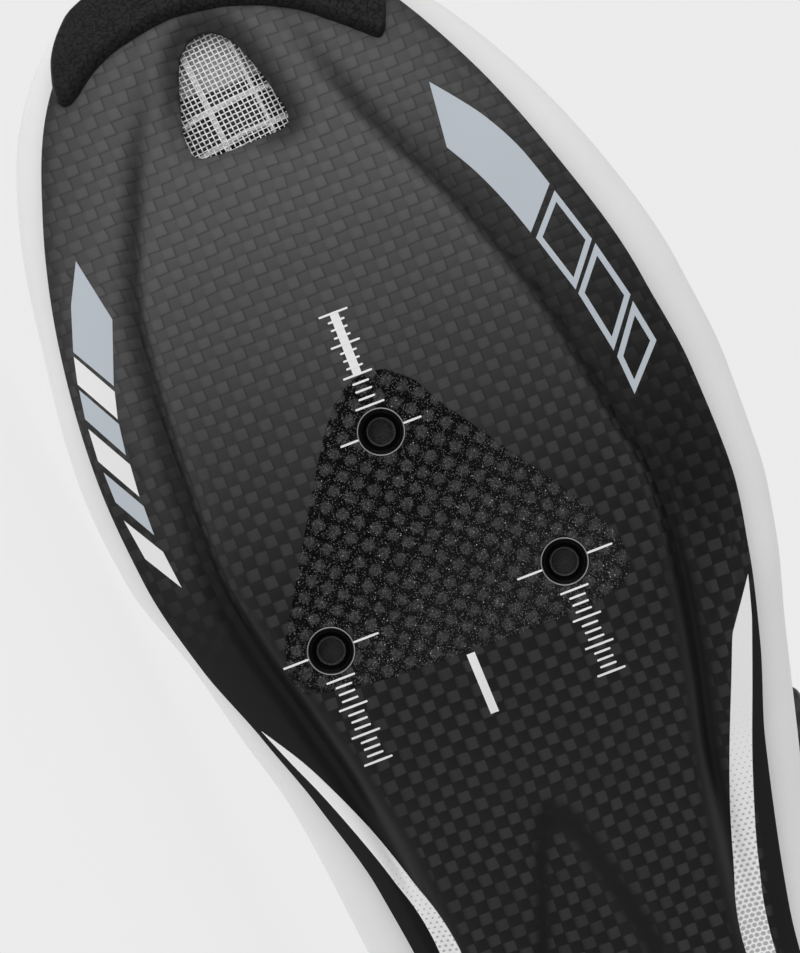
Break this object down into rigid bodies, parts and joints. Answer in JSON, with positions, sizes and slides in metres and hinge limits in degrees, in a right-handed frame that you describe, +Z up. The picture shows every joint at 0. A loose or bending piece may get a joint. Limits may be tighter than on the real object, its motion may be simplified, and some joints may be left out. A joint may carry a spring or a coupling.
{
  "type": "cycling shoe",
  "caption": "Left road cycling shoe with a stiff woven-fibre sole, threaded cleat inserts, toe vent, rubber toe and heel pads and a lace dial.",
  "frame": {"origin": "centre of the bounding box's base, on the floor that the shoe lies on", "axes": "+Z up with the lateral side on top, the toe toward -X, the sole facing -Y"},
  "size_m": [0.3022, 0.115, 0.1121],
  "materials": {
    "upper": "smooth white coated microfibre",
    "outsole": "woven fibre composite under clear resin",
    "toe_bumper": "black, pebble grain",
    "heel_pad": "black, fine ribs",
    "insole": "dark knit over foam",
    "tongue": "pale padded mesh",
    "threaded_insert": "black oxide",
    "vent_screen": "plain woven wire",
    "vent_grille": "pale grey moulded",
    "lace": "stranded wire",
    "lace_guide": "black moulded",
    "dial_base": "black moulded",
    "dial_knob": "black moulded, ribbed rim"
  },
  "bodies": {
    "root": {"upper": "upper", "outsole": "outsole", "toe_bumper": "toe_bumper", "heel_pad": "heel_pad", "insole": "insole", "tongue": "tongue", "insert_front": "threaded_insert", "insert_rear_medial": "threaded_insert", "insert_rear_lateral": "threaded_insert", "vent_screen": "vent_screen", "vent_grille": "vent_grille", "lace": "lace", "guide_medial_rear": "lace_guide", "guide_medial_front": "lace_guide", "guide_lateral_rear": "lace_guide", "guide_lateral_front": "lace_guide", "dial_base": "dial_base", "dial_knob": "dial_knob"}
  },
  "joints": []
}
